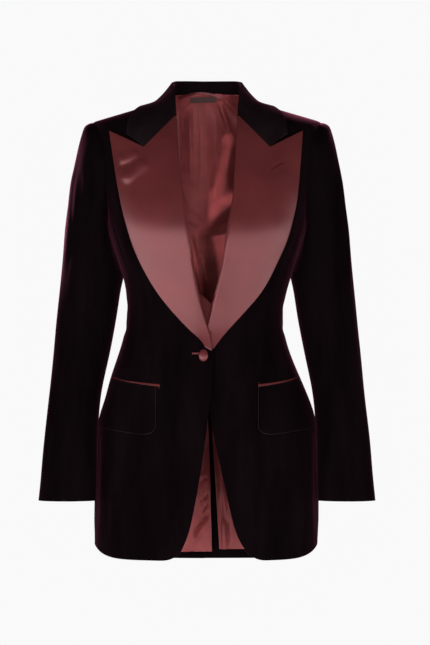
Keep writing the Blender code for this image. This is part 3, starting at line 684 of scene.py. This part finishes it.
def drawFoot(mesh):
    # the foot of the upper lapel is drawn to a point, down towards the button
    foot = lapels["foot"]
    points = meshPoints(mesh) / mm
    share = np.clip((foot["top"] - points[:, 2]) / foot["run"], 0, 1) ** 2
    across = np.clip((points[:, 0] - foot["middle"]) / foot["half"], foot["least"], foot["most"])
    points[:, 2] += share * (foot["rise"] - foot["drop"] * across)
    points[:, 0] -= share * foot["draw"] * across
    setPoints(mesh, points * mm)


for side in sides:
    lapel = outerSkin("lapel_" + side, lapels["levels"])
    if side == "right":
        drawFoot(lapel.data)
    pressCreases(lapel, frontPlaces, chestRoll[side])
    pressCreases(lapel, frontPlaces, lapels["creases"][side], waver=0.45, waverMm=55)
    finishCloth(lapel, "lapel_" + side, lapels["wall"], satin, satin)

# Pocket flaps and the satin jets above them
pockets = {"levels": 2, "flapWall": 2, "flapFlat": (124, 82), "jetWall": 2.2, "jetFlat": (88, 10),
           "jetFull": 84, "jetGone": {"right": 136, "left": 146}, "jetThin": 0.7, "jetTaper": 0.4,
           "jetSink": 2.6, "jetOn": {"right": 7, "left": 0}, "jetTurnings": 1.6}


def thinJet(mesh, side):
    # the jet is drawn narrow, and slips under the flap's top towards the side
    points = meshPoints(mesh) / mm
    out = np.abs(points[:, 0])
    middle = np.polyval(np.polyfit(out, points[:, 2], 3), out)
    share = np.clip((out - pockets["jetFull"]) / (pockets["jetGone"][side] - pockets["jetFull"]), 0, 1)
    points[:, 2] = middle + (points[:, 2] - middle) * (pockets["jetThin"] - pockets["jetTaper"] * share)
    points -= meshNormals(mesh) * (pockets["jetSink"] * share ** 3)[:, None]
    points[:, 0] -= sides[side] * pockets["jetOn"][side] * (1 - share)
    setPoints(mesh, points * mm)


for side in sides:
    flap = outerSkin("pocket_flap_" + side, pockets["levels"])
    pressCreases(flap, frontPlaces, [], waver=0.5, waverMm=40)
    # the flap's rounded edge is painted lighter: a sheen highlight painted in, partly rubbed pile
    finishCloth(flap, "pocket_flap_" + side, pockets["flapWall"], velvet, lining,
                roundMm=0.8, wornAndSheen=wornAndSheenEdgeVelvet)
    jet = outerSkin("pocket_jet_" + side, pockets["levels"])
    thinJet(jet.data, side)
    finishCloth(jet, "pocket_jet_" + side, pockets["jetWall"], satin, satin,
                roundMm=1)

# Lining of the back: a pleat beside the middle, hanging folds and crumples at the waist
liningCloth = {
    "levels": 3, "wall": 1, "flat": (215, 770),
    "middleSeam": {"out": 1.5, "foot": -440, "across": -0.8},  # the turning of the seam
    # the edge beside the vent, as found and as wanted, and how far round it the cloth follows
    "vent": {"foundZ": (-730.5, -460), "foundX": 30, "z": (-736, -551, -514),
             "right": (8, 3, 1.5), "left": (20.5, 9.5, 7.5), "reach": 60, "top": -430, "fadeIn": 50},
    "hem": {"right": 5, "left": 1.5, "top": -640, "run": 92},
    "creases": [  # towards the viewer where the height is negative
        ([(0, 12), (0, -60), (0, -200), (0, -330), (0, -430)], 120, -8),
        ([(-50, 14), (-48, -60), (-46, -146)], 8, -4),
        ([(-41, 4), (-40, -60), (-39, -106), (-31, -138)], 5, 4.5),
        ([(-29, 12), (-28.5, -60), (-27, -116)], 5.5, -6),
        ([(-11, 12), (-11, -60), (-10, -160)], 26, -6),
        ([(-14, 8), (-14, -60), (-13.5, -150)], 2.2, 2.2),
        ([(-31, -114), (-21, -121), (-11, -129)], 6, -6),
        ([(-41, -130), (-34, -146), (-27, -160)], 6, -5),
        ([(-34, -167), (-22, -175), (-8, -184)], 5, -5),
        ([(-38, -180), (-26, -187), (-11, -191)], 4, 4),
        ([(-30, -200), (-20, -250), (-9, -308)], 8, -7),
        ([(-10, -240), (-6, -275), (-3, -308)], 4.5, 4.5),
        ([(19, 16), (28, -8), (38, -34)], 6, -5),
        ([(28, 16), (40, 4), (52, -8)], 4, -4),
        ([(33, -44), (19, -96), (6, -146)], 11, 4),
        ([(36, -24), (34, -80), (32, -140), (30, -190)], 22, -10),
        ([(-26, -200), (-7, -189), (40, -162), (104, -128)], 24, -9),
        ([(-20, -214), (-5, -206), (42, -180), (92, -154)], 9, 6),
        ([(-14, -306), (0, -318), (14, -328)], 7, -4),
        ([(-16, -560), (-18, -640), (-18, -720), (-18, -800)], 50, -4.5),
        ([(1, -611), (-6, -617), (-21, -629)], 3.4, 5.5),
        ([(-3, -604), (-10, -610), (-22, -620)], 4, -3.5),
        ([(3, -640), (-4, -647), (-13, -655)], 3, 5),
        ([(3, -654), (-3, -663), (-10, -675)], 3, 5),
        ([(6, -669), (-8, -686), (-26, -709)], 4.4, 6.4),
        ([(2, -684), (-8, -700), (-22, -722)], 5, -4.5),
        ([(16, -540), (22, -610), (30, -690)], 8, -4.5),
        ([(24, -636), (25, -664), (28, -692)], 4, 2.6),
        ([(27, -676), (28, -706), (30, -745)], 6, -5),
        ([(33, -680), (35, -702), (37, -728)], 4.5, 2.6),
    ],
}


def drawVent(mesh, side):
    # brings the lining's edges along the vent and the hem to their own lines, and the cloth beside them less
    vent, hem = liningCloth["vent"], liningCloth["hem"]
    low, high = vent["foundZ"]
    bm = bmesh.new()
    bm.from_mesh(mesh)
    rim = [vert.co / mm for vert in bm.verts if vert.is_boundary]
    bm.free()
    found = sorted((point.z, point.x) for point in rim
                   if low < point.z < high and abs(point.x) < vent["foundX"])
    heights, places = zip(*found)
    points = meshPoints(mesh) / mm
    now = np.interp(points[:, 2], heights, places)
    wanted = np.interp(points[:, 2], vent["z"], vent[side])
    near = np.clip(1 - np.abs(points[:, 0] - now) / vent["reach"], 0, 1) ** 2
    below = np.clip((vent["top"] - points[:, 2]) / vent["fadeIn"], 0, 1)
    points[:, 0] += (wanted - now) * near * below
    points[:, 2] -= hem[side] * np.clip((hem["top"] - points[:, 2]) / hem["run"], 0, 1) ** 2
    setPoints(mesh, points * mm)


def atMiddleSeam(point, out):
    return point.z > liningCloth["middleSeam"]["foot"] and out.x < liningCloth["middleSeam"]["across"]


for side in sides:
    sheet = outerSkin("lining_back_" + side, liningCloth["levels"], letOut=1)
    liftNeck(sheet.data)
    drawVent(sheet.data, side)
    if side == "left":
        letEdges(sheet.data, liningCloth["middleSeam"]["out"], atMiddleSeam)
    pressCreases(sheet, frontPlaces, liningCloth["creases"], waver=0.5, waverMm=45, along=(0, 1, 0))
    finishCloth(sheet, "lining_back_" + side, liningCloth["wall"], lining, lining,
                roundMm=0.3)

# Button, hanger loop, label and binding, each where the photograph shows it
trims = {"levels": 2, "loopFlat": (80, 10), "labelFlat": (46, 10), "bindingFlat": (20, 10), "labelUp": 4,
         "buttonSize": (0.9, 1, 1.2),  # drawn long by its thread
         "buttonMove": (1, 0, -1.6), "bindingMove": (2.2, 0, 1.8)}


def smoothTrim(nodeName, mat, bevelMm=0.25):
    # a small CAD piece with its edges rounded
    bm = cadQuads(nodeName)
    sharp = [edge for edge in bm.edges if edge.calc_face_angle(0) > radians(reading["rimAngle"])]
    if sharp:
        bmesh.ops.bevel(bm, geom=sharp, offset=bevelMm * mm, segments=1, profile=0.5, affect="EDGES",
                        material=-1)
    piece = addPiece(nodeName + "_trim", bm, mat)
    piece.data.shade_smooth()
    finer = piece.modifiers.new("finer", "SUBSURF")
    finer.levels = finer.render_levels = trims["levels"]
    placePiece(piece, nodeName)
    return piece


button = smoothTrim("button", satin)
points = meshPoints(button.data)
middle = points.mean(0)
setPoints(button.data, middle + (points - middle) * trims["buttonSize"] + np.array(trims["buttonMove"]) * mm)
for nodeName, mat, slot, flat, restsOn in (
        ("hanger_loop", satin, "satin", trims["loopFlat"], "lining_back_right"),
        ("label", tape, "label", trims["labelFlat"], "lining_back_right"),
        ("buttonhole_binding", satin, "satin", trims["bindingFlat"], "front_right")):
    trim = smoothTrim(nodeName, mat, bevelMm=0.15)
    if nodeName == "buttonhole_binding":
        trim.data.transform(Matrix.Translation(Vector(trims["bindingMove"]) * mm))
    else:
        liftNeck(trim.data, extra=trims["labelUp"] if nodeName == "label" else 0)

# Facing of the left front, which shows at the foot of the lapels: its top and foot lines of (x, z),
# its depth at both, and how far it sags back between the lapels
facing = {"top": ((-20, -298), (14, -329)), "foot": ((-10, -382), (6, -382)), "y": (-94, -104), "rows": 10,
          "wall": 1, "flat": (40, 86), "sag": 4}


def makeFacing():
    bm = bmesh.new()
    bmesh.ops.create_grid(bm, x_segments=facing["rows"], y_segments=facing["rows"], size=0.5)
    for vert in bm.verts:
        across, down = vert.co.x + 0.5, 0.5 - vert.co.y
        top, foot = (Vector(start).lerp(Vector(end), across)
                     for start, end in (facing["top"], facing["foot"]))
        spot = top.lerp(foot, down)
        sag = facing["sag"] * sin(pi * across) * (1 - down)
        vert.co = Vector((spot.x, np.interp(down, (0, 1), facing["y"]) + sag, spot.y)) * mm
    return addPiece("front_facing", bm)


finishCloth(makeFacing(), None, facing["wall"], satin, satin,
            roundMm=0.3)

# Stitches of silk twist: (cloth, line of x, z, across, step, radius, sideways), all in mm
stitches = {
    "lapel_hole_upper": ("lapel_left", ((103.5, -107), (121, -96.5)), 2.2, 0.9, 0.42, 1.1),
    "lapel_hole_lower": ("lapel_left", ((104.5, -108), (122, -97.5)), 2.2, 0.9, 0.42, -1.1),
    "lapel_hole_end": ("lapel_left", ((121.5, -98.8), (123, -95.2)), 2, 0.8, 0.42, 0),
    "jet_tack_right": ("front_right", ((-77, -452), (-77, -459)), 2.4, 0.8, 0.35, 0),
    "jet_tack_left": ("front_left", ((84, -450), (84, -457)), 2.4, 0.8, 0.35, 0),
}
# They are set from well in front of the cloth, and each is lifted by a share of its radius
stitching = {"fromY": -1000, "lift": 0.4}


def sewStitches(name, cloth, line, across, step, radius, sideways):
    # little round stitches side by side, each lying across the line on the cloth's face
    mesh = bpy.data.objects[cloth + "_cloth"].data
    tree = BVHTree.FromPolygons([vert.co for vert in mesh.vertices],
                                [face.vertices for face in mesh.polygons])
    start, end = (Vector((x, stitching["fromY"], z)) * mm for x, z in line)
    run = (end - start).normalized()
    count = round((end - start).length / (step * mm))
    size = Matrix.Diagonal((across / 2 * mm, radius * mm, radius * mm, 1))
    bm = bmesh.new()
    for place in range(count + 1):
        spot, facingWay, _, _ = tree.ray_cast(start.lerp(end, place / count), Vector((0, 1, 0)))
        over = run.cross(facingWay).normalized()
        turn = Matrix((over, facingWay.cross(over), facingWay)).transposed().to_4x4()
        lift = Matrix.Translation(spot + over * sideways * mm + facingWay * radius * stitching["lift"] * mm)
        bmesh.ops.create_icosphere(bm, subdivisions=2, radius=1, matrix=lift @ turn @ size)
    piece = addPiece(name, bm, twist)
    piece.data.shade_smooth()
    placePiece(piece)


for name, work in stitches.items():
    sewStitches(name, *work)
print("trim made")

# Stage: an open paper floor, as pale as the room behind it to the camera
stage = {"floorZ": -2.2, "half": 9, "seen": "#f9f9f9", "paper": "#b9b9b9", "air": "#ffffff", "ambient": 0.05}


def mixForCamera(tree, lit, seen, output):
    # one look for the light that bounces, and another for the camera
    path = addNode(tree, "ShaderNodeLightPath")
    mix = addNode(tree, "ShaderNodeMixShader", links={"Fac": path.outputs["Is Camera Ray"]})
    tree.links.new(lit.outputs[0], mix.inputs[1])
    tree.links.new(seen.outputs[0], mix.inputs[2])
    tree.links.new(mix.outputs["Shader"], output.inputs["Surface"])


def makePaper():
    mat = bpy.data.materials.new("matt_paper_floor")
    mat.use_nodes = True
    tree = mat.node_tree
    tree.nodes.clear()
    lit = addNode(tree, "ShaderNodeBsdfDiffuse", values={"Color": linear(stage["paper"])})
    seen = addNode(tree, "ShaderNodeEmission", values={"Color": linear(stage["seen"]), "Strength": 1})
    mixForCamera(tree, lit, seen, addNode(tree, "ShaderNodeOutputMaterial"))
    return mat


def makeFloor():
    bm = bmesh.new()
    bmesh.ops.create_grid(bm, x_segments=1, y_segments=1, size=stage["half"])
    bmesh.ops.translate(bm, vec=(0, 0, stage["floorZ"]), verts=bm.verts)
    floor = addPiece("paper_floor", bm, makePaper())


makeFloor()

# Soft boxes: place and aim in metres, size, watts, spread in degrees, colour
lights = {
    "low_left": ((-1.7, -1.15, -1.1), (-0.19, 0.158, -1.1), (4.9, 1.48), 56, 180, "#ffffff"),
    "low_right": ((1.7, -1.15, -1.1), (0.19, 0.158, -1.1), (4.9, 1.48), 41, 180, "#ffffff"),
    "neck_left": ((-0.55, -0.55, 2.2), (0.036, 0.05, -0.13), (0.14, 0.14), 0.12, 3.2, "#ffffff"),
    "neck_right": ((0.4, -0.6, 2.2), (-0.052, 0.05, -0.14), (0.06, 0.06), 0.1, 2.2, "#ffffff"),
    "right_of_camera": ((0.7, -4.2, -0.3), (0, 0, -0.25), (0.8, 0.8), 33, 180, "#ffffff"),
    "left_of_camera": ((-0.9, -4.2, 1.2), (0, 0, -0.2), (0.9, 0.9), 32, 180, "#ffffff"),
    "rim_left": ((-1.5, 1.15, 0.3), (-0.22, 0, -0.16), (0.1, 0.1), 1.5, 8, "#ffe8ec"),
    "rim_right": ((1.2, 1.4, 0.9), (0.172, 0, -0.02), (0.05, 0.05), 0.12, 2.6, "#ffe8ec"),
    "behind": ((0, 4.5, -0.3), (0, 0, -0.35), (1, 1), 60, 180, "#ffffff"),
}
# The two neck lamps are flagged off from all but the lining
flagged = {"lamps": ("neck_left", "neck_right"), "lit": ("lining_back_right_cloth", "lining_back_left_cloth")}
for name, (place, aim, size, watts, spread, hexCode) in lights.items():
    lamp = bpy.data.lights.new(name, "AREA")
    lamp.shape = "RECTANGLE"
    lamp.size, lamp.size_y = size
    lamp.energy = watts
    lamp.spread = radians(spread)
    lamp.color = linear(hexCode)[:3]
    holder = bpy.data.objects.new(name, lamp)
    holder.location = place
    holder.rotation_euler = (Vector(aim) - Vector(place)).to_track_quat("-Z", "Y").to_euler()
    holder.visible_camera = False
    holder.visible_glossy = name.startswith("low")  # only the low panels gleam in the satin
    if name in flagged["lamps"]:
        lit = bpy.data.collections.new(name + "_lit")
        for cloth in flagged["lit"]:
            lit.objects.link(bpy.data.objects[cloth])
        holder.light_linking.receiver_collection = lit
    scene.collection.objects.link(holder)

scene.world = bpy.data.worlds.new("studio")
scene.world.use_nodes = True
room = scene.world.node_tree
ambient = room.nodes["Background"]
ambient.inputs["Color"].default_value = linear(stage["air"])
ambient.inputs["Strength"].default_value = stage["ambient"]
pale = addNode(room, "ShaderNodeBackground", values={"Color": linear(stage["seen"]), "Strength": 1})
mixForCamera(room, ambient, pale, room.nodes["World Output"])
scene.view_settings.view_transform = "Standard"
print("stage and lights set")

# Camera: level, straight on, at the middle of the photograph's frame of 430 by 645
shot = {"place": (0.0131, -5.0, -0.3534), "lens": 170.2, "sensor": 36}
camera = bpy.data.cameras.new("camera")
camera.lens, camera.sensor_width = shot["lens"], shot["sensor"]
cameraHolder = bpy.data.objects.new("camera", camera)
cameraHolder.location = shot["place"]
cameraHolder.rotation_euler = (radians(90), 0, 0)
scene.collection.objects.link(cameraHolder)
scene.camera = cameraHolder
